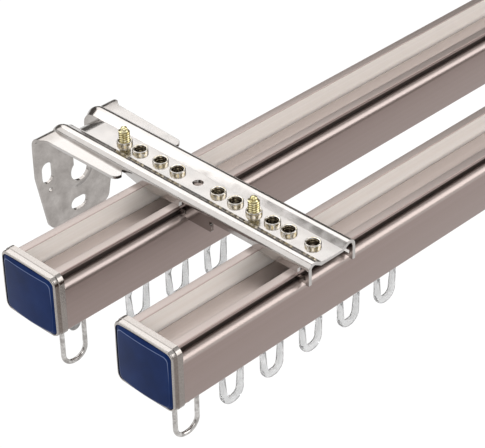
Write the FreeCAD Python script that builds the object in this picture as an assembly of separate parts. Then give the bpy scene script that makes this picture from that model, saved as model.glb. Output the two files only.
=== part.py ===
"""Double curtain track: two aluminium rails side by side on a pair of one-piece
steel wall brackets, with end caps, end stops, hanging rings and roller gliders.

Millimetres. X runs along the rails, Y=0 is the wall and the room is at -Y, Z is up.
The origin is on the wall, at the keyhole of the left bracket.
"""
import FreeCAD
import Part
import math
import os

Vector = FreeCAD.Vector

# Rails: one extruded section, cut to length
track_length = 600.0
track_width = 30.0
track_height = 24.5
wall = 1.4
web = 1.5
channel_width = 16.4
channel_depth = 8.8
stem = 1.6
lip_width = 3.9
lip_thickness = 1.5
shoulder_drop = 3.6
shoulder_radius = 2.2
shoulder_lip = 1.0
slot_width = 8.0
slot_rib_height = 1.2
slot_rib_width = 1.2
edge_radius = 0.8
lip_radius = 0.4

# Where the rails hang, measured from the wall and from the bracket's keyhole
front_reach = 128.5
track_spacing = 63.0
lip_level = 22.0
bracket_inset = 74.0

# End caps: a frame with a wider back flange, and a domed inlay
cap_overhang_side = 0.25
cap_overhang_bottom = 1.3
cap_overhang_top = 1.0
flange_depth = 2.6
flange_proud = 0.35
frame_depth = 2.3
cap_corner_radius = 3.2
plug_depth = 9.0
plug_height = 2.6
plug_clearance = 0.15
panel_width = 28.0
panel_height = 23.8
panel_drop = 1.2
panel_bulge = 0.7
panel_corner_radius = 2.4
panel_seat = 1.2
panel_fit = 0.1
panel_edge = 0.3
dome_radius = 70.0

# Bracket: one stamped sheet, an arm with two beads and a wall plate
sheet = 1.5
arm_half_width = 12.65
bead_radius = 3.0
arm_floor_rise = 3.95
bead_rise = 1.95
floor_half_width = 5.5
bend_radius = 8.0
arm_tip = 18.0
flank_gap = 1.0
hook_leg = 1.7
hook_thickness = 1.5
hook_grip = 1.6
hook_clearance = 0.15
hook_arch_rise = 3.0
tab_drop = 3.7
tab_end = 29.7
flank_end_rise = 1.6
arch_radius = 1.5
relief_radius = 0.9
cut_reach = 20.0
wing_length = 47.6
wing_radius = 5.0
wing_rise = 3.1
wing_root_half_width = 19.5
wing_root_run = 3.0
wing_tip_half_width = 18.3
wing_tip_rise = 2.5
wing_corner_radius = 3.0
wing_notch = 2.3
saddle_radius = 14.0
saddle_half_width = 5.2
plate_half_width = 21.6
plate_foot_half_width = 16.2
plate_taper_top = 4.0
plate_bottom = -24.0
plate_corner_radius = 5.0
keyhole_radius = 4.9
keyhole_neck = 6.2
keyhole_top = 12.0
side_slot_offset = 15.6
side_slot_width = 5.8
side_slot_length = 9.8
side_slot_level = 4.8
foot_slot_width = 5.8
foot_slot_length = 8.8
foot_slot_level = -17.2
pip_radius = 1.0
pip_offset = 14.6
pip_level = -3.9

# Threaded collars along the arm, by their distance from the front rail's centre line
collar_places = [95.3, 86.1, 74.3, 64.5, 41.8, 32.4, 22.5, 12.7, 4.2, -8.2]
plain_hole_place = 53.0
screw_radius = 2.4
thread_gap = 0.06
collar_wall = 0.75
collar_rise = 1.5
plain_hole_radius = 2.2

# Clamp on the wall side of each rail, with its screw
clamp_width = 17.0
clamp_thickness = 2.0
clamp_leg = 1.9
clamp_clearance = 0.15
clamp_top_gap = 0.05
clamp_tail = 38.0
clamp_slot_start = 20.0
clamp_slot_end = 34.5
clamp_slot_gap = 0.3
screw_rise = 11.8
screw_chamfer = 0.8
head_height = 3.4
head_across_flats = 8.0
front_screw_place = 22.5
back_screw_place = 32.3

# Gliders: moulded carrier with a loop, on two pairs of wheels
front_gliders = 5
back_gliders = 3
glider_pitch = 21.8
front_first_glider = 38.0
back_first_glider = 48.1
carrier_length = 20.8
carrier_height = 7.2
carrier_bevel = 2.4
wheel_radius = 4.8
wheel_width = 4.0
wheel_rib_gap = 0.35
axle_radius = 0.9
axle_gap = 0.04
axle_spacing = 10.2
run_gap = 0.05
side_gap = 0.2
rib_gap = 0.15
neck_width = 6.6
loop_thickness = 2.6
loop_width = 11.7
loop_top = 9.5
loop_drop = 29.8
eye_top = 12.4
eye_bottom = 26.6
eye_top_width = 8.6
eye_bottom_width = 5.2
neck_length = 4.0

# End stops with their wire rings
stop_length = 21.0
stop_top = 10.4
stop_gap = 0.12
lug_width = 5.8
lug_thickness = 3.8
lug_drop = 14.6
ring_centre = 14.2
ring_level = 11.2
ring_width = 13.2
ring_drop = 31.2
ring_wire = 1.0
ring_gap = 0.08
ring_shoulder_radius = 2.4
ring_foot_radius = 5.2

# Places that follow from the sizes above
half_width = track_width / 2
half_channel = channel_width / 2
half_slot = slot_width / 2
lip_edge = half_channel + lip_width
track_bottom = lip_level - track_height
track_start = -bracket_inset
track_end = track_start + track_length
right_bracket = track_end - bracket_inset
track_lines = {"front": -front_reach, "back": track_spacing - front_reach}
first_gliders = {"front": front_first_glider, "back": back_first_glider}
glider_counts = {"front": front_gliders, "back": back_gliders}
screw_places = {"front": front_screw_place, "back": back_screw_place}
axle_level = wall + run_gap + wheel_radius
rib_top = wall + slot_rib_height
wheel_face = half_slot + slot_rib_width + wheel_rib_gap
hole_radius = screw_radius + thread_gap
arc_trim = 0.05


def box(x0, x1, y0, y1, z0, z1):
    return Part.makeBox(x1 - x0, y1 - y0, z1 - z0, Vector(x0, y0, z0))


def in_yz(x):
    return lambda u, v: Vector(x, u, v)


def in_xz(y):
    return lambda u, v: Vector(u, y, v)


def in_xy(z):
    return lambda u, v: Vector(u, v, z)


def rounded_face(corners, place):
    """A flat face from corners (u, v) or (u, v, radius), each rounded by its radius."""
    edges = []
    first = last = None
    for i, corner in enumerate(corners):
        here = Vector(corner[0], corner[1], 0)
        radius = corner[2] if len(corner) > 2 else 0
        before = Vector(*corners[i - 1][:2], 0) - here
        after = Vector(*corners[(i + 1) % len(corners)][:2], 0) - here
        before.normalize()
        after.normalize()
        half_angle = before.getAngle(after) / 2
        reach = radius / math.tan(half_angle)
        start, end = here + before * reach, here + after * reach
        if last is not None and (start - last).Length > 1e-7:
            edges.append(Part.makeLine(place(last.x, last.y), place(start.x, start.y)))
        if radius:
            inward = before + after
            inward.normalize()
            middle = here + inward * (radius / math.sin(half_angle) - radius)
            arc = [place(p.x, p.y) for p in (start, middle, end)]
            edges.append(Part.Arc(*arc).toShape())
        first = first or start
        last = end
    if (first - last).Length > 1e-7:
        edges.append(Part.makeLine(place(last.x, last.y), place(first.x, first.y)))
    return Part.Face(Part.Wire(edges))


def prism(face, direction, length):
    return face.extrude(Vector(*direction) * length)


def cylinder(radius, start, direction, length):
    return Part.makeCylinder(radius, length, Vector(*start), Vector(*direction))


def mirrored(shape, x):
    return shape.mirror(Vector(x, 0, 0), Vector(1, 0, 0))


def track_section():
    """Half of the outside from the slot up to the channel, then the hollow for the wheels."""
    top = track_height
    shoulder = top - shoulder_drop
    floor = top - channel_depth
    inside = half_width - wall
    nose = half_width - shoulder_radius - 0.2
    stem_face = half_channel + stem
    under_lip = top - lip_thickness
    half = [
        (half_slot, 0), (half_width, 0, edge_radius),
        (half_width, shoulder, shoulder_radius), (nose, shoulder),
        (nose, shoulder - shoulder_lip), (inside, shoulder - 2 * shoulder_lip),
        (inside, floor), (stem_face, floor), (stem_face, under_lip),
        (lip_edge, under_lip), (lip_edge, top, lip_radius),
        (half_channel, top, lip_radius), (half_channel, floor),
    ]
    rib = half_slot + slot_rib_width
    ceiling = floor - web
    hollow = [
        (half_slot, rib_top), (rib, rib_top), (rib, wall),
        (inside, wall, edge_radius), (inside, ceiling, edge_radius),
    ]
    outer = half + [(-c[0], *c[1:]) for c in reversed(half)]
    inner = [(-c[0], *c[1:]) for c in hollow] + list(reversed(hollow))
    return outer + inner


def make_track(line):
    corners = [(c[0] + line, c[1] + track_bottom, *c[2:]) for c in track_section()]
    return prism(rounded_face(corners, in_yz(track_start)), (1, 0, 0), track_length)


def cap_block(line, x0, x1, grow):
    half = half_width + cap_overhang_side + grow
    low = track_bottom - cap_overhang_bottom - grow
    high = lip_level + cap_overhang_top + grow
    radius = cap_corner_radius
    corners = [(line + s * half, z, radius) for s, z in ((-1, low), (1, low), (1, high), (-1, high))]
    return prism(rounded_face(corners, in_yz(x0)), (1, 0, 0), x1 - x0)


def panel_prism(line, x0, x1, grow):
    """The inlay's outline: four bowed sides with rounded corners."""
    half_y = panel_width / 2 + grow
    half_z = panel_height / 2 + grow
    centre = cap_panel_level()
    corner = panel_corner_radius
    edges = []
    turns = [(1, 1), (-1, 1), (-1, -1), (1, -1)]
    for i, (sy, sz) in enumerate(turns):
        ny, nz = turns[(i + 1) % 4]
        bend = corner * (1 - math.sqrt(0.5))
        across = i % 2 == 0
        begin = (sy * (half_y - corner), sz * half_z) if across else (sy * half_y, sz * (half_z - corner))
        finish = (ny * (half_y - corner), nz * half_z) if across else (ny * half_y, nz * (half_z - corner))
        middle = (0, sz * (half_z + panel_bulge)) if across else (sy * (half_y + panel_bulge), 0)
        turn_end = (ny * half_y, nz * (half_z - corner)) if across else (ny * (half_y - corner), nz * half_z)
        turn_middle = (ny * (half_y - bend), nz * (half_z - bend))
        for points in ((begin, middle, finish), (finish, turn_middle, turn_end)):
            arc = [Vector(x0, line + y, centre + z) for y, z in points]
            edges.append(Part.Arc(*arc).toShape())
    return prism(Part.Face(Part.Wire(edges)), (1, 0, 0), x1 - x0)


def cap_panel_level():
    top = lip_level + cap_overhang_top - panel_drop - panel_bulge
    return top - panel_height / 2


def make_cap(line):
    """Frame of the left end: back flange, frame, plug into the rail, seat for the inlay."""
    back = track_start
    middle = back - flange_depth
    face = middle - frame_depth
    frame = cap_block(line, middle, back, flange_proud).fuse(cap_block(line, face, middle, 0))
    ceiling = lip_level - channel_depth - web - plug_clearance
    half = half_width - wall - plug_clearance - edge_radius
    plug = box(back, back + plug_depth, line - half, line + half, ceiling - plug_height, ceiling)
    seat = panel_prism(line, face - 1, face + panel_seat, panel_fit)
    return frame.fuse(plug).cut(seat).removeSplitter()


def make_panel(line):
    """Inlay whose face bows out across its width, so its middle stands proud of the frame."""
    face = track_start - flange_depth - frame_depth
    reach = panel_width / 2 + panel_bulge
    rise = dome_radius - math.sqrt(dome_radius**2 - reach**2)
    crown = face - panel_edge - rise
    low = cap_panel_level() - panel_height
    blank = panel_prism(line, crown - 1, face + panel_seat, 0)
    bow = cylinder(dome_radius, (crown + dome_radius, line, low), (0, 0, 1), 2 * panel_height)
    return blank.common(bow)


def bead_centre():
    return (arm_half_width - bead_radius, arm_floor_rise + bead_rise - bead_radius)


def bead_turn():
    """The angle that a bead turns through, from its upright flank to its slope to the floor."""
    x, z = bead_centre()
    run, drop = floor_half_width - x, arm_floor_rise - z
    return math.atan2(drop, run) - math.acos(bead_radius / math.hypot(run, drop))


def bead_line(depth):
    """Half of the arm's top line at a depth below its surface, as (x, rise above the lips).

    Gives three points of the bead's arc, which starts at the flank, and the floor's corner.
    """
    x, z = bead_centre()
    turn = bead_turn()
    radius = bead_radius - depth
    arc = [(x + radius * math.cos(a), z + radius * math.sin(a)) for a in (0, turn / 2, turn)]
    slope = turn - math.pi / 2
    return arc, (floor_half_width + depth * math.tan(slope / 2), arm_floor_rise - depth)


def strip_face(flank_foot, place):
    """The arm's cross-section: two beads, the floor between, and flanks down to a level."""
    edges = []
    feet = []
    for depth in (0, sheet):
        arc, corner = bead_line(depth)
        for side in (1, -1):
            points = [place(side * x, z) for x, z in arc]
            edges.append(Part.Arc(*points).toShape())
            edges.append(Part.makeLine(points[2], place(side * corner[0], corner[1])))
            feet.append(place(side * arc[0][0], flank_foot))
            if flank_foot < arc[0][1]:
                edges.append(Part.makeLine(feet[-1], points[0]))
        edges.append(Part.makeLine(*[place(side * corner[0], corner[1]) for side in (1, -1)]))
    edges += [Part.makeLine(feet[0], feet[2]), Part.makeLine(feet[1], feet[3])]
    return Part.Face(Part.Wire(Part.__sortEdges__(edges)))


def flank_waste():
    """What is cut away below the flanks: one side view of both, from the wall to the tip."""
    lips = lip_level
    deep = lips - cut_reach
    tip = -front_reach - arm_tip
    waste = []
    for name, line in track_lines.items():
        near = line - lip_edge - hook_clearance
        arch_end = line - arm_tip + hook_leg
        finger_tip = line - lip_edge + hook_grip
        wall_side = line + lip_edge + hook_clearance
        finger_top = lips - lip_thickness - hook_clearance
        finger_bottom = finger_top - hook_thickness
        arch = [
            (near, finger_top), (near, lips + hook_arch_rise, arch_radius),
            (arch_end, lips + hook_arch_rise, arch_radius), (arch_end, finger_top),
        ]
        waste.append(arch)
        waste.append([
            (near - 1, finger_top), (near - 1, lips), (wall_side, lips), (wall_side, deep),
            (finger_tip, deep), (finger_tip, finger_top),
        ])
        waste.append([
            (finger_tip + 1, finger_bottom), (finger_tip + 1, deep), (arch_end, deep),
            (arch_end, finger_bottom),
        ])
    front, back = track_lines["front"], track_lines["back"]
    waste.append([(tip - 1, deep), (tip - 1, lips - tab_drop), (front, lips - tab_drop), (front, deep)])
    tab = back - tab_end
    open_level = lips + flank_gap
    waste.append([
        (front + lip_edge + hook_clearance - 1, deep), (front + lip_edge + hook_clearance - 1, open_level),
        (tab, open_level), (tab, deep),
    ])
    waste.append([(tab - 1, deep), (tab - 1, lips - tab_drop), (back, lips - tab_drop), (back, deep)])
    end = 1 - wing_length
    waste.append([(back + lip_edge, deep), (back + lip_edge, lips), (end, lips + flank_end_rise), (end, deep)])
    reach = arm_half_width + 1
    solids = [prism(rounded_face(corners, in_yz(-reach)), (1, 0, 0), 2 * reach) for corners in waste]
    relief = cylinder(relief_radius, (-reach, tab, open_level - relief_radius), (1, 0, 0), 2 * reach)
    return solids + [relief]


def make_arm():
    """The straight arm: trimmed flanks over the rails, then only the beads beside the wings."""
    tip = -front_reach - arm_tip
    face = strip_face(-tab_drop, lambda x, z: Vector(x, tip, lip_level + z))
    flanked = prism(face, (0, 1, 0), -wing_length - tip).cut(flank_waste())
    face = strip_face(wing_rise - sheet, lambda x, z: Vector(x, -wing_length, lip_level + z))
    return flanked.fuse(prism(face, (0, 1, 0), wing_length - bend_radius))


def bend_axis():
    return Vector(0, -bend_radius, lip_level + arm_floor_rise + bead_rise - bend_radius)


def make_bend():
    """The arm's beads and floor turned down through a quarter circle at the wall."""
    face = strip_face(wing_rise - sheet, lambda x, z: Vector(x, -bend_radius, lip_level + z))
    return face.revolve(bend_axis(), Vector(1, 0, 0), -90)


def bend_side_view(depth, radius, width):
    """What lies under the floor's bend, seen from the side: a block with one rounded corner."""
    top, wall_side = lip_level + arm_floor_rise - depth, -bead_rise - depth
    end = -bead_rise - saddle_radius
    foot = lip_level + arm_floor_rise - saddle_radius
    corners = [(end, foot), (end, top), (wall_side, top, radius), (wall_side, foot)]
    return prism(rounded_face(corners, in_yz(-width)), (1, 0, 0), 2 * width)


def make_saddle():
    """Between the beads the floor cuts the bend's corner in a wider curve, with a cheek each side."""
    inner_radius = bend_radius - bead_rise
    cheek_edge = floor_half_width + sheet / 2
    under = bend_side_view(sheet, saddle_radius - sheet, 2 * cheek_edge)
    curve = bend_side_view(0, saddle_radius, cheek_edge).cut(under)
    cheeks = bend_side_view(0, inner_radius, floor_half_width).cut(under)
    middle = bend_side_view(0, inner_radius, saddle_half_width)
    return middle, cheeks.cut(middle).fuse(curve)


def plate_outline():
    half = plate_half_width
    foot = plate_foot_half_width
    top = lip_level + wing_rise - wing_radius
    radius = plate_corner_radius
    return [
        (-half, top), (half, top), (half, plate_taper_top, 2 * radius),
        (foot, plate_bottom, radius), (-foot, plate_bottom, radius),
        (-half, plate_taper_top, 2 * radius),
    ]


def pad_half_face():
    """Half of the pad's section in the plane Z=0, from a bead's crown to the pad's middle."""
    crest = arm_floor_rise + bead_rise
    centre_x, centre_z = bead_centre()
    half_slope = (bead_turn() + math.pi / 2) / 2
    edges = []
    crowns = []
    middles = []

    def place(x, z):
        return Vector(x, z - crest, 0)

    for depth in (0, sheet):
        arc, corner = bead_line(depth)
        radius = bead_radius - depth
        crown = place(centre_x, crest - depth)
        shoulder = place(centre_x + radius * math.cos(half_slope), centre_z + radius * math.sin(half_slope))
        foot = place(*arc[2])
        crowns.append(crown)
        middles.append(place(0, corner[1]))
        edges.append(Part.Arc(crown, shoulder, foot).toShape())
        edges.append(Part.makeLine(foot, place(*corner)))
        edges.append(Part.makeLine(place(*corner), middles[-1]))
    edges += [Part.makeLine(*crowns), Part.makeLine(*middles)]
    return Part.Face(Part.Wire(Part.__sortEdges__(edges)))


def make_plate():
    """Wall plate: a tapered sheet with a pad raised round the keyhole, and its slots."""
    corners = plate_outline()
    plate = prism(rounded_face(corners, in_xz(-sheet)), (0, 1, 0), sheet)
    crest = bead_centre()[0]
    top = bend_axis().z
    window = cylinder(crest, (0, -sheet - 1, 0), (0, 1, 0), sheet + 2)
    window = window.fuse(box(-crest, crest, -sheet - 1, 1, 0, lip_level + 10))
    half = pad_half_face()
    rounded = half.revolve(Vector(0, 0, 0), Vector(0, 1, 0), 180)
    strip = half.extrude(Vector(0, 0, top))
    pad = rounded.fuse([strip, mirrored(strip, 0)])
    return plate.cut(window).fuse(pad)


def make_wing(side):
    """A tapered flange beside the arm, and its roll round the bend into the plate's top corner."""
    inner = arm_half_width - sheet / 2
    root, tip = -wing_radius, -wing_length

    def section(y, edge, rise):
        corners = [(inner, rise), (edge, rise), (edge, rise - sheet), (inner, rise - sheet)]
        points = [Vector(side * x, y, lip_level + z) for x, z in corners]
        return Part.makePolygon(points + points[:1])

    at_root = section(root, plate_half_width, wing_rise)
    at_tip = section(tip, plate_half_width, wing_tip_rise)
    outline = [
        (inner, root), (plate_half_width, root), (wing_root_half_width, root - wing_root_run, wing_corner_radius),
        (wing_tip_half_width, tip, wing_corner_radius), (arm_half_width + wing_notch, tip),
        (inner, tip + wing_notch + sheet / 2),
    ]
    outline = [(side * corner[0], *corner[1:]) for corner in outline]
    trim = prism(rounded_face(outline, in_xy(lip_level)), (0, 0, 1), 2 * wing_rise)
    flange = Part.makeLoft([at_root, at_tip], True, True).common(trim)
    axis = Vector(0, root, lip_level + wing_rise - wing_radius)
    return flange, Part.Face(at_root).revolve(axis, Vector(1, 0, 0), -90)


def bracket_holes():
    """Keyhole and slots in the plate, and the bores along the arm."""
    depth = bend_radius
    cuts = [cylinder(keyhole_radius, (0, -depth, 0), (0, 1, 0), depth + 1)]
    neck = keyhole_neck / 2
    cuts.append(box(-neck, neck, -depth, 1, 0, keyhole_top - neck))
    cuts.append(cylinder(neck, (0, -depth, keyhole_top - neck), (0, 1, 0), depth + 1))
    for side in (-1, 1):
        cuts += slot(side * side_slot_offset, side_slot_level, side_slot_width, side_slot_length, False)
        cuts.append(cylinder(pip_radius, (side * pip_offset, -depth, pip_level), (0, 1, 0), depth + 1))
    cuts += slot(0, foot_slot_level, foot_slot_width, foot_slot_length, True)
    above = lip_level + arm_floor_rise + collar_rise + 1
    below = lip_level
    for place in collar_places:
        cuts.append(cylinder(hole_radius, (0, place - front_reach, below), (0, 0, 1), above - below))
    cuts.append(cylinder(plain_hole_radius, (0, plain_hole_place - front_reach, below), (0, 0, 1), above - below))
    return cuts


def slot(x, z, width, length, lying):
    """A round-ended slot through the wall plate, lying or upright."""
    radius = width / 2
    run = length / 2 - radius
    dx, dz = (run, 0) if lying else (0, run)
    ends = [cylinder(radius, (x + s * dx, -bend_radius, z + s * dz), (0, 1, 0), bend_radius + 1) for s in (-1, 1)]
    side_x, side_z = (run, radius) if lying else (radius, run)
    return ends + [box(x - side_x, x + side_x, -bend_radius, 1, z - side_z, z + side_z)]


def make_bracket():
    """One stamping: arm, bend, wall plate and wings, with its collars raised and its holes cut."""
    floor = lip_level + arm_floor_rise
    collars = []
    for place in collar_places:
        start = (0, place - front_reach, floor - sheet / 2)
        collars.append(cylinder(hole_radius + collar_wall, start, (0, 0, 1), collar_rise + sheet / 2))
    middle, saddle = make_saddle()
    pieces = [make_bend(), make_plate(), *make_wing(-1), *make_wing(1), *collars]
    bracket = make_arm().fuse(pieces).cut(middle).fuse(saddle).cut(bracket_holes())
    return bracket.removeSplitter()


def make_clamp(line):
    """Bent steel strip: hooks under the rail's lip and runs back under the arm."""
    top = lip_level + arm_floor_rise - sheet - clamp_top_gap
    under = top - clamp_thickness
    lip_under = lip_level - lip_thickness - clamp_clearance
    foot = lip_under - hook_thickness
    leg = line + lip_edge + clamp_clearance
    corners = [
        (line + clamp_tail, top), (leg, top, 1.0), (leg, lip_under, 0.3),
        (leg - hook_grip, lip_under), (leg - hook_grip, foot), (leg + clamp_leg, foot, 0.5),
        (leg + clamp_leg, under, 0.5), (line + clamp_tail, under),
    ]
    half = clamp_width / 2
    clamp = prism(rounded_face(corners, in_yz(-half)), (1, 0, 0), clamp_width)
    radius = screw_radius + clamp_slot_gap
    first, last = line + clamp_slot_start, line + clamp_slot_end
    cuts = [cylinder(radius, (0, y, under - 1), (0, 0, 1), clamp_thickness + 2) for y in (first, last)]
    cuts.append(box(-radius, radius, first, last, under - 1, top + 1))
    return clamp.cut(cuts)


def make_screw(line, offset):
    """Hexagon-head screw, put in from below, whose point stands above the arm."""
    seat = lip_level + arm_floor_rise - sheet - clamp_top_gap - clamp_thickness
    tip = lip_level + screw_rise
    y = line + offset
    points = [
        Vector(0, y, seat - head_height / 2), Vector(screw_radius, y, seat - head_height / 2),
        Vector(screw_radius, y, tip - screw_chamfer), Vector(screw_radius - screw_chamfer, y, tip),
        Vector(0, y, tip),
    ]
    shank = Part.Face(Part.makePolygon(points + points[:1])).revolve(points[0], Vector(0, 0, 1), 360)
    across = head_across_flats / math.sqrt(3)
    corners = [(across * math.cos(a), y + across * math.sin(a)) for a in hexagon_angles()]
    ring = [Vector(cx, cy, seat - head_height) for cx, cy in corners]
    head = Part.Face(Part.makePolygon(ring + ring[:1])).extrude(Vector(0, 0, head_height))
    return head.fuse(shank).removeSplitter()


def hexagon_angles():
    return [math.pi / 3 * i for i in range(6)]


def make_stop(line):
    """End stop in the rail's hollow, with a lug through the slot and a bore for the ring."""
    z = track_bottom
    x0 = track_start + stop_gap
    centre = track_start + ring_centre
    half = half_width - wall - edge_radius - stop_gap
    body_low = z + wall + slot_rib_height + stop_gap
    body = box(x0, x0 + stop_length, line - half, line + half, body_low, z + stop_top)
    reach = lug_thickness / 2
    radius = lug_width / 2
    corners = [
        (centre - radius, body_low + 1), (centre - radius, z - lug_drop, radius - arc_trim),
        (centre + radius, z - lug_drop, radius - arc_trim), (centre + radius, body_low + 1),
    ]
    lug = prism(rounded_face(corners, in_xz(line - reach)), (0, 1, 0), lug_thickness)
    bore = cylinder(ring_wire + ring_gap, (centre - lug_width, line, z - ring_level), (1, 0, 0), 2 * lug_width)
    return body.fuse(lug).cut(bore).removeSplitter()


def make_ring(line):
    """Closed wire loop hanging through the lug."""
    centre = track_start + ring_centre
    top = track_bottom - ring_level
    half = ring_width / 2 - ring_wire
    bottom = track_bottom - ring_drop + ring_wire
    corners = [
        (centre - half, top, ring_shoulder_radius), (centre + half, top, ring_shoulder_radius),
        (centre + half, bottom, ring_foot_radius), (centre - half, bottom, ring_foot_radius),
    ]
    path = rounded_face(corners, in_xz(line)).OuterWire
    start = path.Edges[0].valueAt(path.Edges[0].FirstParameter)
    along = path.Edges[0].tangentAt(path.Edges[0].FirstParameter)
    profile = Part.Wire(Part.makeCircle(ring_wire, start, along))
    return path.makePipeShell([profile], True, False)


def glider_x(track, number):
    return track_start + first_gliders[track] + number * glider_pitch


def make_carrier(line, x):
    """Moulded carrier: a body between the wheels, a neck through the slot, and the loop."""
    z = track_bottom
    half = carrier_length / 2
    low = z + rib_top + rib_gap
    high = low + carrier_height
    side = wheel_face - side_gap
    bevel = carrier_bevel
    outline = [
        (x - half, low), (x + half, low), (x + half, high - bevel), (x + half - bevel, high),
        (x - half + bevel, high), (x - half, high - bevel),
    ]
    body = prism(rounded_face(outline, in_xz(line - side)), (0, 1, 0), 2 * side)
    neck = neck_width / 2
    wide = loop_width / 2
    outline = [
        (x - neck, low + 1), (x - neck, z - neck_length), (x - wide, z - loop_top, 3.0),
        (x - wide, z - loop_drop, wide - arc_trim), (x + wide, z - loop_drop, wide - arc_trim),
        (x + wide, z - loop_top, 3.0), (x + neck, z - neck_length), (x + neck, low + 1),
    ]
    top, foot = eye_top_width / 2, eye_bottom_width / 2
    eye = [
        (x - top, z - eye_top, 3.2), (x + top, z - eye_top, 3.2),
        (x + foot, z - eye_bottom, foot - 2 * arc_trim), (x - foot, z - eye_bottom, foot - 2 * arc_trim),
    ]
    back = in_xz(line - loop_thickness / 2)
    loop = prism(rounded_face(outline, back), (0, 1, 0), loop_thickness)
    loop = loop.cut(prism(rounded_face(eye, back), (0, 1, 0), loop_thickness))
    bores = [
        cylinder(axle_radius + axle_gap, (x + s * axle_spacing / 2, line - half, z + axle_level), (0, 1, 0), 2 * half)
        for s in (-1, 1)
    ]
    return body.fuse(loop).cut(bores).removeSplitter()


def make_wheels(line, x):
    """Two wheels fixed on one axle pin, turned as one profile."""
    outer = wheel_face + wheel_width
    profile = [
        (0, -outer), (wheel_radius, -outer), (wheel_radius, -wheel_face), (axle_radius, -wheel_face),
        (axle_radius, wheel_face), (wheel_radius, wheel_face), (wheel_radius, outer), (0, outer),
    ]
    z = track_bottom + axle_level
    points = [Vector(x, line + v, z + u) for u, v in profile]
    face = Part.Face(Part.makePolygon(points + points[:1]))
    return face.revolve(Vector(x, line, z), Vector(0, 1, 0), 360)


def make_parts():
    parts = {}
    middle = (track_start + track_end) / 2
    bracket = make_bracket()
    parts["bracket_left"] = bracket
    parts["bracket_right"] = bracket.translated(Vector(right_bracket, 0, 0))
    for track, line in track_lines.items():
        parts[f"{track}_rail"] = make_track(line)
        clamp = make_clamp(line)
        screw = make_screw(line, screw_places[track])
        for end, x in (("left", 0), ("right", right_bracket)):
            parts[f"{track}_clamp_{end}"] = clamp.translated(Vector(x, 0, 0))
            parts[f"{track}_clamp_screw_{end}"] = screw.translated(Vector(x, 0, 0))
        ends = {
            "end_cap": make_cap(line), "cap_inlay": make_panel(line),
            "end_stop": make_stop(line), "end_ring": make_ring(line),
        }
        for name, shape in ends.items():
            parts[f"{track}_{name}_left"] = shape
            parts[f"{track}_{name}_right"] = mirrored(shape, middle)
        for number in range(glider_counts[track]):
            x = glider_x(track, number)
            glider = f"{track}_glider_{number + 1}"
            parts[glider] = make_carrier(line, x)
            for side, s in (("a", -1), ("b", 1)):
                parts[f"{glider}_wheels_{side}"] = make_wheels(line, x + s * axle_spacing / 2)
    return parts


os.makedirs("parts", exist_ok=True)
for node, shape in make_parts().items():
    shape.exportStep(f"parts/{node}.step")
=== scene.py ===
import math

import bmesh
import bpy
import numpy as np
from mathutils import Matrix, Vector


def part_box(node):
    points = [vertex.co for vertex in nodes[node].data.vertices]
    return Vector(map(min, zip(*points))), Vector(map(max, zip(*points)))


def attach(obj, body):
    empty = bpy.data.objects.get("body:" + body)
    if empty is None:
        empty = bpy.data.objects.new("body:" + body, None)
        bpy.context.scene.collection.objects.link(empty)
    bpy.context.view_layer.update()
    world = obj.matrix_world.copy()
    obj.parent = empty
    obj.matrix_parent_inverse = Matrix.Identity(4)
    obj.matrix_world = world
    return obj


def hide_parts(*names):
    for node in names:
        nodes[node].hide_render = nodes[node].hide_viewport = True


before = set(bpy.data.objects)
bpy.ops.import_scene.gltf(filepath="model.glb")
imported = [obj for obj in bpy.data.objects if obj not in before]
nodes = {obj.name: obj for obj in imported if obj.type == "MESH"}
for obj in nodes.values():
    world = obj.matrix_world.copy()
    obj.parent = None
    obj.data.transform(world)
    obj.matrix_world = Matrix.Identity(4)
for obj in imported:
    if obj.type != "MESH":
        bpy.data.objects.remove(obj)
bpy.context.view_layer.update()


# The camera stands where the photographer stood: in front of the left end of the track,
# above it, with a long lens. The view is turned a little off level.
view_azimuth = math.radians(-44.56)
view_height = math.radians(34.6)
view_roll = math.radians(-1.22)
view_distance = 0.7794
view_target = Vector((0.0182, -0.0812, 0.0))
focal_pixels = 1944.8
image_width = 485

back = Vector((
    math.sin(view_azimuth) * math.cos(view_height),
    -math.cos(view_azimuth) * math.cos(view_height),
    math.sin(view_height),
))
level_right = Vector((math.cos(view_azimuth), math.sin(view_azimuth), 0))
level_up = back.cross(level_right)
right = level_right * math.cos(view_roll) + level_up * math.sin(view_roll)
up = level_up * math.cos(view_roll) - level_right * math.sin(view_roll)
turn = Matrix((right, up, back)).transposed().to_4x4()
camera = bpy.data.objects.new("photo_camera", bpy.data.cameras.new("photo_camera"))
camera.matrix_world = Matrix.Translation(view_target + back * view_distance) @ turn
camera.data.sensor_width = 36.0
camera.data.sensor_fit = "HORIZONTAL"
camera.data.lens = camera.data.sensor_width * focal_pixels / image_width
camera.data.clip_start = 0.01
bpy.context.scene.collection.objects.link(camera)
bpy.context.scene.camera = camera


# The room around it: an open studio with a wide white floor well below the track, a pale
# sky that is grey only low down behind it, and large soft lamps that shape the metal.
def linear(hex_colour):
    """An sRGB hex colour as linear values, by the sRGB curve, fully opaque."""
    values = [int(hex_colour[i:i + 2], 16) / 255 for i in (1, 3, 5)]
    curve = [v / 12.92 if v <= 0.04045 else ((v + 0.055) / 1.055) ** 2.4 for v in values]
    return (*curve, 1.0)


def add_node(tree, kind, settings=(), links=(), stops=()):
    """One shader node with its settings by name, links from (node, output) to its inputs, and
    for a colour ramp its stops, each a position and an sRGB hex colour."""
    node = tree.nodes.new(kind)
    while len(stops) > 2 and len(node.color_ramp.elements) < len(stops):
        node.color_ramp.elements.new(0.5)
    for number, (position, colour) in enumerate(stops):
        node.color_ramp.elements[number].position = position
        node.color_ramp.elements[number].color = linear(colour)
    for name, value in dict(settings).items():
        if isinstance(name, int) or name in node.inputs:
            node.inputs[name].default_value = value
        else:
            setattr(node, name, value)
    for name, (source, output) in dict(links).items():
        tree.links.new(source.outputs[output], node.inputs[name])
    return node


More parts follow.
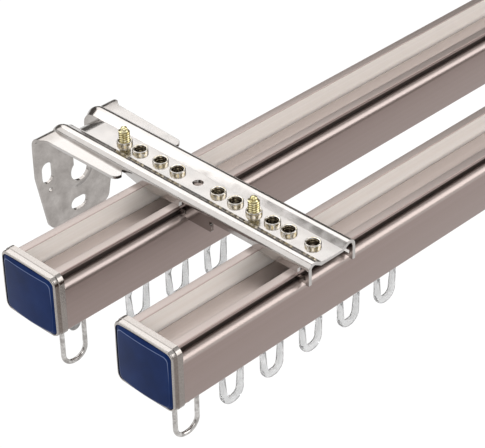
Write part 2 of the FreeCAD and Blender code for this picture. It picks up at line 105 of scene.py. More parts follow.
# The sky's shade follows how far a direction points up and to the front.
sky_way = (0.0, -0.8, 0.6)
sky_strength = 0.85
world = bpy.data.worlds.new("studio")
bpy.context.scene.world = world
world.use_nodes = True
sky = world.node_tree
sky.nodes.clear()
direction = add_node(sky, "ShaderNodeTexCoord")
facing_sky = {"operation": "DOT_PRODUCT", 1: sky_way}
height = add_node(sky, "ShaderNodeVectorMath", facing_sky, {0: (direction, "Generated")})
shades = [(0.0, "#74716e"), (0.15, "#a29f9d"), (0.45, "#ecebea"), (0.9, "#f8f8f8")]
dome = add_node(sky, "ShaderNodeValToRGB", {}, {"Fac": (height, "Value")}, shades)
room = add_node(sky, "ShaderNodeBackground", {"Strength": sky_strength}, {"Color": (dome, "Color")})
add_node(sky, "ShaderNodeOutputWorld", links={"Surface": (room, "Background")})

# The floor is white paint that holds the object's shadow. The camera, mirrors and clear plastic
# see mostly a white glow on it, and from below it is clear.
floor_level, floor_reach = -0.30, 7.0
glow_share, glow_strength = 0.8, 1.05
floor_ways = ((-1, -1), (1, -1), (1, 1), (-1, 1))
corners = [(x * floor_reach, y * floor_reach, floor_level) for x, y in floor_ways]
floor_mesh = bpy.data.meshes.new("floor")
floor_mesh.from_pydata(corners, [], [(0, 1, 2, 3)])
floor = bpy.data.objects.new("floor", floor_mesh)
bpy.context.scene.collection.objects.link(floor)
floor_paint = bpy.data.materials.new("white_floor")
floor_paint.use_nodes = True
tree = floor_paint.node_tree
tree.nodes.clear()
path = add_node(tree, "ShaderNodeLightPath")
looks = {0: (path, "Is Camera Ray"), 1: (path, "Is Glossy Ray")}
either = add_node(tree, "ShaderNodeMath", {"operation": "MAXIMUM"}, looks)
looks = {0: (either, "Value"), 1: (path, "Is Transmission Ray")}
seen = add_node(tree, "ShaderNodeMath", {"operation": "MAXIMUM"}, looks)
share = add_node(tree, "ShaderNodeMath", {"operation": "MULTIPLY", 1: glow_share}, {0: (seen, "Value")})
paint = add_node(tree, "ShaderNodeBsdfDiffuse", {"Color": linear("#efefef")})
glow = add_node(tree, "ShaderNodeEmission", {"Color": linear("#ffffff"), "Strength": glow_strength})
layers = {"Fac": (share, "Value"), 1: (paint, "BSDF"), 2: (glow, "Emission")}
lit = add_node(tree, "ShaderNodeMixShader", {}, layers)
clear = add_node(tree, "ShaderNodeBsdfTransparent")
side = add_node(tree, "ShaderNodeNewGeometry")
layers = {"Fac": (side, "Backfacing"), 1: (lit, "Shader"), 2: (clear, "BSDF")}
above = add_node(tree, "ShaderNodeMixShader", {}, layers)
add_node(tree, "ShaderNodeOutputMaterial", {}, {"Surface": (above, "Shader")})
floor_mesh.materials.append(floor_paint)

lamp_aim = Vector((0.05, -0.09, 0.0))


def hang_lamp(name, way, distance, size, power, roll=0):
    """A square soft lamp of some watts, hung so many metres from the track in a direction, facing
    the track, and rolled by some degrees."""
    light = bpy.data.lights.new(name, "AREA")
    light.size = size
    light.energy = power
    lamp = bpy.data.objects.new(name, light)
    place = lamp_aim + Vector(way) * distance
    facing = (lamp_aim - place).to_track_quat("-Z", "Y").to_matrix().to_4x4()
    rolled = Matrix.Rotation(math.radians(roll), 4, "Z")
    lamp.matrix_world = Matrix.Translation(place) @ facing @ rolled
    bpy.context.scene.collection.objects.link(lamp)


# The key lamp draws the highlight along the rails' shoulders. The sky lamp lies in the arm and
# the tops of the caps, the left lamp in the plate and the beads, and the last one fills the
# channels.
hang_lamp("key_lamp", (0.59, -0.63, 0.51), distance=1.9, size=1.4, power=15.0)
hang_lamp("sky_lamp", (0.261, 0.587, 0.766), distance=1.5, size=1.2, power=9.4, roll=45)
hang_lamp("left_lamp", (-0.62, 0.60, 0.50), distance=1.5, size=1.5, power=9.6)
hang_lamp("fill_lamp", (-0.60, -0.58, 0.55), distance=1.5, size=0.8, power=4.0)
bpy.context.scene.view_settings.view_transform = "Standard"


# The rails: 6063 aluminium pressed through a die, so faint lines run along them, then
# anodised champagne. Each is sawn to length, and the end caps close the cuts.
mm = 0.001
fixed = "rails_and_brackets"


def corners_of(node):
    """A CAD node's lowest and highest corners in mm."""
    return np.array(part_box(node), float) / mm


def middle_of(node):
    """The middle of a CAD node's box in mm."""
    low, high = np.array(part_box(node), float)
    return (low + high) / 2 / mm


def half_size(node):
    """Half the length, depth and height of a CAD node's box in mm."""
    low, high = np.array(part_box(node), float)
    return (high - low) / 2 / mm


def rounded_outline(corners, steps=5):
    """A closed outline in mm from corners (u, v, radius), with an arc in each corner.

    Each arc is its centre plus its radius times a direction, and the direction turns evenly
    from the way in to the way out: (sin((1-t)w) * start + sin(tw) * end) / sin(w).
    """
    spots = np.array([corner[:2] for corner in corners], float)
    radius = np.array([corner[2] for corner in corners], float)
    before, after = np.roll(spots, 1, 0) - spots, np.roll(spots, -1, 0) - spots
    before /= np.linalg.norm(before, axis=1)[:, None]
    after /= np.linalg.norm(after, axis=1)[:, None]
    half = np.arccos(np.clip((before * after).sum(1), -1, 1)) / 2
    inward = (before + after) / np.linalg.norm(before + after, axis=1)[:, None]
    centre = spots + inward * (radius / np.sin(half))[:, None]
    start = (spots + before * (radius / np.tan(half))[:, None] - centre) / radius[:, None]
    end = (spots + after * (radius / np.tan(half))[:, None] - centre) / radius[:, None]
    turn = (math.pi - 2 * half)[:, None, None]
    t = np.linspace(0, 1, steps + 1)[None, :, None]
    way = (np.sin((1 - t) * turn) * start[:, None] + np.sin(t * turn) * end[:, None]) / np.sin(turn)
    return (centre[:, None] + radius[:, None, None] * way).reshape(-1, 2)


def band(rings, closed=False):
    """The points and faces of a skin through rings of points: four-sided faces join each ring
    to the next. The two end rings get flat faces, or are joined when the skin is closed."""
    count, around = rings.shape[:2]
    row = np.arange(count if closed else count - 1)[:, None]
    column = np.arange(around)[None, :]
    beside = (column + 1) % around
    here, ahead = row * around, (row + 1) % count * around
    square = (here + column, here + beside, ahead + beside, ahead + column)
    faces = np.stack(np.broadcast_arrays(*square), axis=-1).reshape(-1, 4).tolist()
    if not closed:
        last = (count - 1) * around
        faces += [list(range(around)), list(range(last, last + around))]
    return rings.reshape(-1, 3), faces


def stack_rings(x, line, level, outlines):
    """Rings in mm in planes across the rail, one outline of (y, z) points at each x."""
    rings = np.empty((len(x), len(outlines[0]), 3))
    rings[..., 0] = np.asarray(x)[:, None]
    rings[..., 1:] = np.array(outlines) + (line, level)
    return rings


def place_piece(name, mesh, material, body, replaced, sharp):
    """Turns a mesh's faces outwards, shades it smooth up to an angle in degrees, and makes it ride
    on its body."""
    work = bmesh.new()
    work.from_mesh(mesh)
    bmesh.ops.recalc_face_normals(work, faces=work.faces)
    work.to_mesh(mesh)
    work.free()
    mesh.shade_smooth()
    mesh.set_sharp_from_angle(angle=math.radians(sharp))
    mesh.materials.clear()
    mesh.materials.append(material)
    piece = bpy.data.objects.new(name, mesh)
    bpy.context.scene.collection.objects.link(piece)
    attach(piece, body)
    if replaced:
        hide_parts(replaced)
    return piece


def add_piece(name, skins, material, body, replaced=None, sharp=35, tints=()):
    """One object from skins in mm. A tint for each point of the skins, from 0 to 1, tells the
    material which finish is there."""
    points, faces = [], []
    for skin_points, skin_faces in skins:
        start = sum(len(p) for p in points)
        faces += [[start + i for i in face] for face in skin_faces]
        points.append(skin_points)
    mesh = bpy.data.meshes.new(name)
    mesh.from_pydata((np.concatenate(points) * mm).tolist(), [], faces)
    if len(tints):
        tint = mesh.attributes.new("tint", "FLOAT", "POINT")
        values = np.concatenate([np.ravel(t) for t in tints])
        tint.data.foreach_set("value", values.astype(np.float32))
    place_piece(name, mesh, material, body, replaced, sharp)


def new_material(name, **values):
    """An empty node material and its tree, with a principled shader that has these values."""
    material = bpy.data.materials.new(name)
    material.use_nodes = True
    tree = material.node_tree
    tree.nodes.clear()
    sockets = {word.replace("_", " "): value for word, value in values.items()}
    shader = add_node(tree, "ShaderNodeBsdfPrincipled", sockets)
    add_node(tree, "ShaderNodeOutputMaterial", links={"Surface": (shader, "BSDF")})
    return material, tree, shader


def blotches(tree, size, detail=3.0, stretch=(1, 1, 1)):
    """A cloudy pattern in Object coordinates whose blotches are about `size` mm, and longer by
    `stretch` along each axis."""
    place = add_node(tree, "ShaderNodeTexCoord")
    scale = [1 / (size * mm * s) for s in stretch]
    sized = add_node(tree, "ShaderNodeMapping", {"Scale": scale}, {"Vector": (place, "Object")})
    cloudy = {"Scale": 1.0, "Detail": detail, "Roughness": 0.6}
    return add_node(tree, "ShaderNodeTexNoise", cloudy, {"Vector": (sized, "Vector")})


def finish(tree, shader, pattern, colours=(), rough=None, relief=0):
    """Makes a shader follow a pattern: its colour by (pattern value, sRGB hex) stops, its
    roughness between two values, and its bump by a relief in mm."""
    if colours:
        tone = add_node(tree, "ShaderNodeValToRGB", {}, {"Fac": (pattern, "Fac")}, colours)
        tree.links.new(tone.outputs["Color"], shader.inputs["Base Color"])
    if rough:
        reach = {"From Min": 0.3, "From Max": 0.7, "To Min": rough[0], "To Max": rough[1]}
        spread = add_node(tree, "ShaderNodeMapRange", reach, {"Value": (pattern, "Fac")})
        tree.links.new(spread.outputs["Result"], shader.inputs["Roughness"])
    if relief:
        depth = {"Strength": 0.5, "Distance": relief * mm}
        raised = add_node(tree, "ShaderNodeBump", depth, {"Height": (pattern, "Fac")})
        tree.links.new(raised.outputs["Normal"], shader.inputs["Normal"])


def two_tones(tree, shader, factor, output, pattern, low, high):
    """Makes a shader's colour go from one set of stops to another by a factor, each set over a
    pattern."""
    source = {"Fac": (pattern, "Fac")}
    first = add_node(tree, "ShaderNodeValToRGB", {}, source, low)
    second = add_node(tree, "ShaderNodeValToRGB", {}, source, high)
    links = {"Factor": (factor, output), 6: (first, "Color"), 7: (second, "Color")}
    colour = add_node(tree, "ShaderNodeMix", {"data_type": "RGBA"}, links)
    tree.links.new(colour.outputs[2], shader.inputs["Base Color"])


# Anodised aluminium: a satin metal whose colour sits in the oxide, and the clear oxide over it is the
# coat. The channel, the lips and the gaps beside them are painted lighter and less metallic, as painted
# light for the light that bounces in the channel, and the shoulders' rounds carry a painted highlight.
# The die's lines are some tenths of a mm wide, and are drawn 1.3 mm wide to show.
oxide = {"Coat_Weight": 0.75, "Coat_IOR": 1.77, "Coat_Roughness": 0.34}
anodised, tree, shader = new_material("champagne_anodised_aluminium", **oxide)
die_lines = blotches(tree, 1.3, 1.0, stretch=(900, 1, 1))
# The tint marks the painted light: the channel's lighter colour and the shoulders' painted highlight.
painted_pale = add_node(tree, "ShaderNodeAttribute", {"attribute_name": "tint"})
outside = [(0.3, "#806c65"), (0.5, "#826e67"), (0.7, "#84706a")]
inside = [(0.3, "#e6dfd8"), (0.5, "#eae4de"), (0.7, "#eee9e4")]
two_tones(tree, shader, painted_pale, "Fac", die_lines, outside, inside)
finish(tree, shader, die_lines, rough=(0.29, 0.33))
less_metal = {"To Min": 0.82, "To Max": 0.15}
less_metal_where_pale = add_node(tree, "ShaderNodeMapRange", less_metal, {"Value": (painted_pale, "Fac")})
tree.links.new(less_metal_where_pale.outputs["Result"], shader.inputs["Metallic"])

# The section in mm: its walls, the slot underneath, the channel and the lips beside it, the
# shoulders, the edges' radii, and a fine step in the channel's corners.
wall, web, stem, lip_thick = 1.4, 1.5, 1.6, 1.5
half_slot, slot_rib, rib_height = 4.0, 1.2, 1.2
half_channel, channel_deep, lip_wide = 8.2, 8.8, 3.9
shoulder_drop, shoulder_lip, nose_flat = 3.6, 1.0, 0.2
die_edge, soft_edge, shoulder_edge, foot_edge, lip_edge = 0.15, 0.3, 3.0, 0.8, 0.4
corner_line = 0.8

# How much painted light each face gets: the channel's wall most, then its floor, the lips and the gaps,
# and a painted highlight on the shoulder's round. A point lies on a face when it is this near in mm, a
# face with painted light stays this clear of its edges, and this share of the shoulder's round gets the
# painted highlight.
wall_pale, floor_pale, lip_pale, gap_pale, round_painted_highlight = 1.0, 0.22, 0.2, 0.1, 0.16
near, edge_clear, round_share = 0.01, 0.1, 0.8


def mirrored(corners):
    """Corners (u, v, radius) moved to the other side of the centre line."""
    return [(-u, v, radius) for u, v, radius in corners]


def rail_outline(half, top):
    """The rail's section in mm from its centre line and its underside: the right half from the
    slot up the outside into the channel, its mirror image, and then the hollow inside."""
    shoulder, floor_top, under_lip = top - shoulder_drop, top - channel_deep, top - lip_thick
    inner, ceiling, nose = half - wall, floor_top - web, half - shoulder_edge - nose_flat
    stem_face, lip_end = half_channel + stem, half_channel + lip_wide
    step_side, step_foot = half_channel - corner_line, floor_top - corner_line
    rib_side, rib_top = half_slot + slot_rib, wall + rib_height
    outer = [
        (half_slot, 0, soft_edge), (half, 0, foot_edge), (half, shoulder, shoulder_edge),
        (nose, shoulder, die_edge), (nose, shoulder - shoulder_lip, die_edge),
        (inner, shoulder - 2 * shoulder_lip, die_edge), (inner, floor_top, die_edge),
        (stem_face, floor_top, die_edge), (stem_face, under_lip, die_edge),
        (lip_end, under_lip, soft_edge), (lip_end, top, lip_edge),
        (half_channel, top, lip_edge), (half_channel, step_foot, die_edge),
        (step_side, step_foot, die_edge), (step_side, floor_top, die_edge),
    ]
    hollow = [
        (half_slot, rib_top, soft_edge), (rib_side, rib_top, soft_edge), (rib_side, wall, die_edge),
        (inner, wall, foot_edge), (inner, ceiling, foot_edge),
    ]
    return rounded_outline(outer + mirrored(outer[::-1]) + mirrored(hollow) + hollow[::-1])


def rail_painted_light(outline, half, top):
    """How much painted light each point of the section gets, by the face that it lies on: the channel's
    walls and floor, the tops of the lips, the gaps beside them, and the shoulders' rounds, which get a
    painted highlight."""
    across, up = np.abs(outline[:, 0]), outline[:, 1]
    shoulder, floor_top, beside = top - shoulder_drop, top - channel_deep, half - shoulder_edge
    on_wall = (np.abs(across - half_channel) < near) & (up > floor_top - corner_line)
    on_floor = (across < half_channel) & (np.abs(up - floor_top) < near)
    on_lip = up > top - 2 * near
    in_gap = (across < beside) & (up > floor_top + near) & (up < top - edge_clear)
    round_foot = shoulder - round_share * shoulder_edge
    on_round = (across > beside) & (up < shoulder - edge_clear) & (up > round_foot)
    faces = [on_wall, on_floor, on_lip, in_gap, on_round]
    return np.select(faces, [wall_pale, floor_pale, lip_pale, gap_pale, round_painted_highlight], 0.0)


for track in ("front", "back"):
    rail = f"{track}_rail"
    low, high = corners_of(rail)
    line, half, tall = middle_of(rail)[1], half_size(rail)[1], 2 * half_size(rail)[2]
    outline = rail_outline(half, tall)
    skin = band(stack_rings([low[0], high[0]], line, low[2], [outline, outline]))
    tints = [rail_painted_light(outline, half, tall)] * 2
    add_piece(f"{rail}_extrusion", [skin], anodised, fixed, rail, tints=tints)


# The wall brackets: each one piece of steel strip, pierced and stamped in a follow-on die,
# with its screw collars drawn up out of the floor, then nickel plated.

# How near two points are when they merge, in mm. In degrees: faces turn less than the first
# angle where they are one flat face, edges turn more than the second where they are bevelled,
# a tip is sharper than the third, and an edge that turns less than the last is shaded smooth.
merge_reach = 0.004
flat_angle, bevel_angle, tip_angle, smooth_angle = 0.6, 40, 30, 28
bevel_segments = 2


def sharp_tipped(face):
    """True for a face of five or more sides with a very sharp corner, which a bevel would tear."""
    if len(face.verts) < 5:
        return False
    return min(corner.calc_angle() for corner in face.loops) < math.radians(tip_angle)


def dressed_copy(name, node, material, width):
    """A CAD node's copy, merged, with its flat faces joined and a bevel of some mm on its outer
    edges, save round a sharp-tipped face."""
    mesh = nodes[node].data.copy()
    mesh.name = name
    if "custom_normal" in mesh.attributes:
        mesh.attributes.remove(mesh.attributes["custom_normal"])
    work = bmesh.new()
    work.from_mesh(mesh)
    bmesh.ops.remove_doubles(work, verts=work.verts, dist=merge_reach * mm)
    flat = math.radians(flat_angle)
    bmesh.ops.dissolve_limit(work, angle_limit=flat, verts=work.verts, edges=work.edges)
    bmesh.ops.recalc_face_normals(work, faces=work.faces)
    tipped = {face for face in work.faces if sharp_tipped(face)}
    weight = work.edges.layers.float.new("bevel_weight_edge")
    for edge in work.edges:
        outer = edge.calc_face_angle_signed(0) > math.radians(bevel_angle)
        edge[weight] = float(outer and not tipped.intersection(edge.link_faces))
    work.to_mesh(mesh)
    work.free()
    piece = place_piece(name, mesh, material, fixed, node, smooth_angle)
    bevel = piece.modifiers.new("edge", "BEVEL")
    bevel.width = width * mm
    bevel.segments = bevel_segments
    bevel.limit_method = "WEIGHT"
    bevel.use_clamp_overlap = False
    bevel.harden_normals = True


# Nickel on stamped steel: bright and a little wavy along the arm. The plate is painted darker in cloudy
# patches, as painted shade, and one tone fades into the other in the bend.
arm_end, plate_start = -12, -6
nickel, tree, shader = new_material("nickel_plated_steel", Metallic=1.0)
clouds = blotches(tree, 7.0, 4.0)
place = add_node(tree, "ShaderNodeTexCoord")
apart = add_node(tree, "ShaderNodeSeparateXYZ", links={"Vector": (place, "Object")})
bend = {"From Min": arm_end * mm, "From Max": plate_start * mm}
on_plate = add_node(tree, "ShaderNodeMapRange", bend, {"Value": (apart, "Y")})
bright = [(0.3, "#b2aeab"), (0.5, "#b8b4b1"), (0.7, "#bebbb9")]
shaded_plate_tones = [(0.3, "#948f8b"), (0.5, "#a6a19d"), (0.7, "#b7b2ae")]
two_tones(tree, shader, on_plate, "Result", clouds, bright, shaded_plate_tones)
finish(tree, shader, clouds, rough=(0.11, 0.22))
finish(tree, shader, blotches(tree, 9.0, 1.0), relief=0.10)

for side in ("left", "right"):
    dressed_copy(f"bracket_{side}_stamping", f"bracket_{side}", nickel, width=0.2)

# Threaded collars: drawn up and tapped after plating, so a yellow film of oil lies on the bright rims.
# The cut threads inside the hole are painted dark, as painted shade.
tapped, tree, shader = new_material("tapped_steel_collar", Metallic=1.0)
film = blotches(tree, 0.9, 2.0)
cut = add_node(tree, "ShaderNodeAttribute", {"attribute_name": "tint"})
rim = [(0.35, "#a8986c"), (0.5, "#cfc7b4"), (0.65, "#efece6")]
shaded_threads = [(0.35, "#2a251e"), (0.5, "#544b3c"), (0.65, "#857a64")]
two_tones(tree, shader, cut, "Fac", film, rim, shaded_threads)
finish(tree, shader, film, rough=(0.12, 0.30))

# The arm's floor above the rails, each collar's place from the front rail's line towards the
# wall, and the hole with its thread, in mm.
floor_above_rail = 3.95
collar_places = [95.3, 86.1, 74.3, 64.5, 41.8, 32.4, 22.5, 12.7, 4.2, -8.2]
thread_pitch, collar_bore, collar_thread, thread_rows = 1.0, 2.46, 0.24, 24
collar_round = np.linspace(0, 2 * math.pi, 48, endpoint=False)[None, :]


def levels_of(node):
    """A CAD node's lowest and highest levels in mm."""
    low, high = corners_of(node)
    return low[2], high[2]


def thread_wave(up, around):
    """A thread's height from 0 at its root to 1 at its crest, for points at a height and an angle:
    a wave of one pitch along the screw that moves up by one pitch in each turn."""
    phase = up / thread_pitch - around / (2 * math.pi)
    return 0.5 - 0.5 * np.cos(2 * math.pi * phase)


def collar_skin(x, y, level):
    """A collar in mm round (x, y) on a floor's level, and 1 for each point that is cut: a profile
    of (radius, height) turned about the hole's axis, whose inside is the hole's radius less a
    thread."""
    outside = [
        (3.3, -0.3), (3.27, 0.3), (3.25, 1.15), (3.12, 1.42), (2.9, 1.55), (2.66, 1.50), (2.52, 1.32),
    ]
    bore = np.full(thread_rows, collar_bore)
    inside = np.stack([bore, np.linspace(1.1, -1.6, thread_rows)], 1)
    foot = [(2.8, -1.75), (3.2, -1.6)]
    profile = np.concatenate([outside, inside, foot])
    radius, up = profile[:, :1], profile[:, 1:]
    cut = np.repeat([0.0, 1.0, 0.0], [len(outside), len(inside), len(foot)])[:, None]
    radius = radius - collar_thread * cut * thread_wave(up, collar_round)
    rings = np.stack([
        x + radius * np.cos(collar_round),
        y + radius * np.sin(collar_round),
        level + up + 0 * collar_round,
    ], -1)
    return band(rings, closed=True), cut + 0 * collar_round


for side in ("left", "right"):
    x, line = middle_of(f"bracket_{side}")[0], middle_of("front_rail")[1]
    arm_floor = levels_of("front_rail")[1] + floor_above_rail
    skins, cuts = zip(*(collar_skin(x, line + place, arm_floor) for place in collar_places))
    add_piece(f"bracket_{side}_collars", skins, tapped, fixed, tints=cuts)


# The clamps: bent steel strip with a long slot, zinc plated. Each hooks under a lip of its
# rail and is drawn up under the arm by a screw.

# Each rail has one at its left and one at its right, and so it is with the parts further down.
four_corners = [(track, side) for track in ("front", "back") for side in ("left", "right")]

# Zinc plating: a soft grey with a faint spangle. Its grain is drawn 0.5 mm wide to show.
zinc, tree, shader = new_material("zinc_plated_strip", Metallic=1.0)
spangle = blotches(tree, 3.0, 4.0)
greys = [(0.3, "#8c8a88"), (0.5, "#a5a3a1"), (0.7, "#bab8b6")]
finish(tree, shader, spangle, greys, rough=(0.28, 0.42))
finish(tree, shader, blotches(tree, 0.5, 2.0), relief=0.01)

for track, side in four_corners:
    clamp = f"{track}_clamp_{side}"
    dressed_copy(f"{clamp}_strip", clamp, zinc, width=0.25)


# The clamp screws: M5 with a hexagon head, put in from below, cold headed and rolled, then
# yellow zinc plated. The point is a short plain pilot above the last turn of thread.

# In mm: half the head's width across flats and its height, then the thread's two radii, the
# pilot's radius and the length of the whole point.
half_flats, head_tall = 4.0, 3.4
thread_root, thread_crest, pilot, point_long, shank_rows = 1.93, 2.38, 1.5, 1.9, 90
screw_round = np.linspace(0, 2 * math.pi, 72, endpoint=False)[None, :]

# Yellow zinc: pale gold in cloudy patches, rubbed light on the crests, and painted dark in the roots as
# painted shade.
yellow_zinc, tree, shader = new_material("yellow_zinc_plating", Metallic=1.0)
passivation = blotches(tree, 1.6, 3.0)
crest_wear_root_shade = add_node(tree, "ShaderNodeAttribute", {"attribute_name": "tint"})
shaded_roots = [(0.3, "#5d4f2c"), (0.5, "#776840"), (0.7, "#8c7d52")]
crests = [(0.3, "#b9a973"), (0.45, "#cdc290"), (0.6, "#ddd5b0"), (0.72, "#e2d9c8")]
two_tones(tree, shader, crest_wear_root_shade, "Fac", passivation, shaded_roots, crests)
finish(tree, shader, passivation, rough=(0.14, 0.28))


def screw_skin(x, y, low, high):
    """A screw in mm about a vertical axis at (x, y), and how worn each point is, where the thread's
    roots, at 0, are painted dark as shade. The head's radius is a hexagon's, half the width across
    flats over the cosine of the angle from the flat, held under a chamfer cone. The shank's is the root
    radius plus a thread wave. The cone and the tip are rows of (height, radius)."""
    cone = np.array([
        (0.0, 1.2), (0.0, 3.7), (0.25, 4.2), (0.5, 4.7),
        (head_tall - 0.35, 4.7), (head_tall - 0.15, 4.45), (head_tall, 4.2),
    ])
    tip = np.array([
        (0.2, 1.75), (0.45, pilot), (1.1, pilot - 0.05), (1.5, 1.25), (1.75, 0.85), (point_long, 0.3),
    ])
    shank_top = high - point_long
    turn = (screw_round + math.pi / 6) % (math.pi / 3) - math.pi / 6
    head = np.minimum(half_flats / np.cos(turn), cone[:, 1:])
    shank_up = np.linspace(low + head_tall, shank_top, shank_rows)[:, None]
    wave = thread_wave(shank_up, screw_round)
    shank = thread_root + (thread_crest - thread_root) * wave
    point = tip[:, 1:] + 0 * screw_round
    up = np.concatenate([low + cone[:, :1], shank_up, tip[:, :1] + shank_top])
    radius = np.concatenate([head, shank, point])
    rings = np.stack([
        x + radius * np.cos(screw_round),
        y + radius * np.sin(screw_round),
        up + 0 * screw_round,
    ], -1)
    return band(rings), np.concatenate([1 + 0 * head, wave, 1 + 0 * point])


for track, side in four_corners:
    node = f"{track}_clamp_screw_{side}"
    x, y, _ = middle_of(node)
    skin, wear_and_root_shade = screw_skin(x, y, *levels_of(node))
    add_piece(f"{node}_thread", [skin], yellow_zinc, fixed, node, tints=[wear_and_root_shade])


# The end caps: zinc castings with a wider back flange, polished and chrome plated, pushed
# into the rail's hollow by a plug.

# In mm: the frame in front, the flange behind it, the panel that fills the frame, its seat, and
# the plug with its clearance under the rail's web.
frame_deep, flange_deep, flange_proud = 2.3, 2.6, 0.35
frame_half_y, frame_half_z, frame_corner = 15.25, 13.4, 3.2
panel_half_y, panel_half_z, panel_corner, panel_bulge = 14.2, 12.3, 2.1, 0.35
seat_deep, panel_gap, cap_above_rail = 1.2, 0.08, 1.0
plug_half_y, plug_tall, plug_long = 12.65, 2.6, 9.0
plug_corner, plug_soft, plug_clear = 0.5, 0.3, 0.15
least_corner, corner_steps, outline_points = 0.3, 12, 288

# How much painted light the flange and the plug get, the share of the frame's half height where the
# painted highlight on its top starts and how it fades in, and how much painted light the flange gets
# there.
flange_painted_light, plug_painted_light = 0.35, 0.4
top_from, top_fade, flange_top_light = 0.82, 0.15, 0.8

# Chrome on polished zinc with fine speckles. Its light and shade are painted: a painted highlight round
# the front and along the top, and painted shade on the sides.
chrome, tree, shader = new_material("chrome_plated_casting", Metallic=1.0)
speckle = blotches(tree, 0.5, 2.0)
painted_cap_light = add_node(tree, "ShaderNodeAttribute", {"attribute_name": "tint"})
shaded_sides = [(0.3, "#6c635d"), (0.5, "#766d67"), (0.7, "#807771")]
face = [(0.3, "#a49f9a"), (0.5, "#aba6a2"), (0.7, "#b2aeaa")]
two_tones(tree, shader, painted_cap_light, "Fac", speckle, shaded_sides, face)
finish(tree, shader, speckle, rough=(0.14, 0.22))


def pillow(half_y, half_z, corner, bulge=0.0, grow=0.0):
    """A rounded rectangle in mm as (y, z) points spaced evenly by length. Each side bows out by
    the bulge times one less t squared, where t goes from -1 to 1 along the side."""
    wide, tall = half_y + grow, half_z + grow
    soft = max(corner + grow, least_corner)
    corners = [(wide, tall, soft), (-wide, tall, soft), (-wide, -tall, soft), (wide, -tall, soft)]
    ring = rounded_outline(corners, corner_steps)
    ring = np.append(ring, ring[:1], 0)
    length = np.append(0, np.cumsum(np.linalg.norm(np.diff(ring, axis=0), axis=1)))
    spots = np.linspace(0, length[-1], outline_points, endpoint=False)
    u = np.interp(spots, length, ring[:, 0]) / wide
    v = np.interp(spots, length, ring[:, 1]) / tall
    return np.stack([u * (wide + bulge * (1 - v**2)), v * (tall + bulge * (1 - u**2))], 1)


def rail_end(track, side):
    """Where a rail ends in mm, the way out along it there, and the rail's line."""
    low, high = corners_of(f"{track}_rail")
    line = middle_of(f"{track}_rail")[1]
    return (low[0], -1, line) if side == "left" else (high[0], 1, line)


def cap_skins(end, out, line, level, panel_level):
    """A cap's casting and plug in mm, and how much painted light each point gets: rounded rectangles
    stand in a row along the rail, first the inlay's seat and then the outside. `out` is the way that
    the cap faces. Each row is (how far out, growth of the outline, painted light)."""
    front, proud = flange_deep + frame_deep, flange_proud
    seat = np.array([
        (front - seat_deep, 0, 1), (front - 0.3, 0, 1), (front - 0.08, 0.1, 1), (front, 0.3, 1),
    ])
    outside = np.array([
        (front, -0.75, 1), (front - 0.06, -0.42, 1), (front - 0.22, -0.18, 0.8),
        (front - 0.45, -0.04, 0.4), (front - 0.8, 0, 0), (flange_deep + 0.25, 0, 0),
        (flange_deep + 0.08, 0.05, 0), (flange_deep, proud - 0.12, flange_painted_light),
        (flange_deep - 0.12, proud, flange_painted_light), (0.15, proud, flange_painted_light),
        (0, proud - 0.15, flange_painted_light),
    ])
    panel = (panel_half_y, panel_half_z, panel_corner, panel_bulge)
    holes = [pillow(*panel, panel_gap + grow) for grow in seat[:, 1]]
    shells = [pillow(frame_half_y, frame_half_z, frame_corner, 0, grow) for grow in outside[:, 1]]
    inner = stack_rings(end + out * seat[:, 0], line, panel_level, holes)
    outer = stack_rings(end + out * outside[:, 0], line, level, shells)
    casting = np.concatenate([inner, outer])
    rim = np.concatenate([seat, outside])[:, 2:]
    upper = np.clip(((casting[..., 2] - level) / frame_half_z - top_from) / top_fade, 0, 1)
    cap_painted_light = np.maximum(rim, upper * np.where(rim == flange_painted_light, flange_top_light, 1))
    rail_top = level + frame_half_z - cap_above_rail
    plug_level = rail_top - channel_deep - web - plug_clear - plug_tall / 2
    depth = np.array([0.0, plug_soft, plug_long - plug_soft, plug_long])
    growths = (0, 0, 0, -plug_soft)
    sections = [pillow(plug_half_y, plug_tall / 2, plug_corner, 0, grow) for grow in growths]
    plug = stack_rings(end - out * depth, line, plug_level, sections)
    return [band(casting), band(plug)], [cap_painted_light, plug_painted_light + 0 * plug[..., 0]]


for track, side in four_corners:
    cap = f"{track}_end_cap_{side}"
    level, panel_level = middle_of(cap)[2], middle_of(f"{track}_cap_inlay_{side}")[2]
    skins, cap_painted_light = cap_skins(*rail_end(track, side), level, panel_level)
    add_piece(f"{cap}_casting", skins, chrome, fixed, cap, tints=cap_painted_light)


# The inlays: one navy ABS moulding in each cap, crowned like a wide cylinder, with a bevel all
# round. Each is pressed into the frame's seat.

# The crown's radius and how far it stands out at its sides, in mm, then the row that is the bevel's
# crest, and the least painted highlight that the crest gets.
dome_radius, panel_edge = 110.0, 0.3
crest_row, face_rows, least_crest_highlight = 4, 12, 0.12

# Moulded ABS: deep navy with a soft gloss. A painted highlight lies on the crest of the bevel, most of
# all along its top, and a fine relief breaks the reflections.
navy, tree, shader = new_material("navy_moulded_abs", Roughness=0.28, Specular_IOR_Level=0.06)
lit = add_node(tree, "ShaderNodeAttribute", {"attribute_name": "tint"})
navy_tones = [(0.3, "#0b2049"), (0.5, "#0f2552"), (0.7, "#142b5a")]
crest_tones = [(0.3, "#7482a4"), (0.7, "#8491b2")]
two_tones(tree, shader, lit, "Fac", blotches(tree, 14.0, 2.0), navy_tones, crest_tones)
finish(tree, shader, blotches(tree, 0.6, 2.0), relief=0.004)


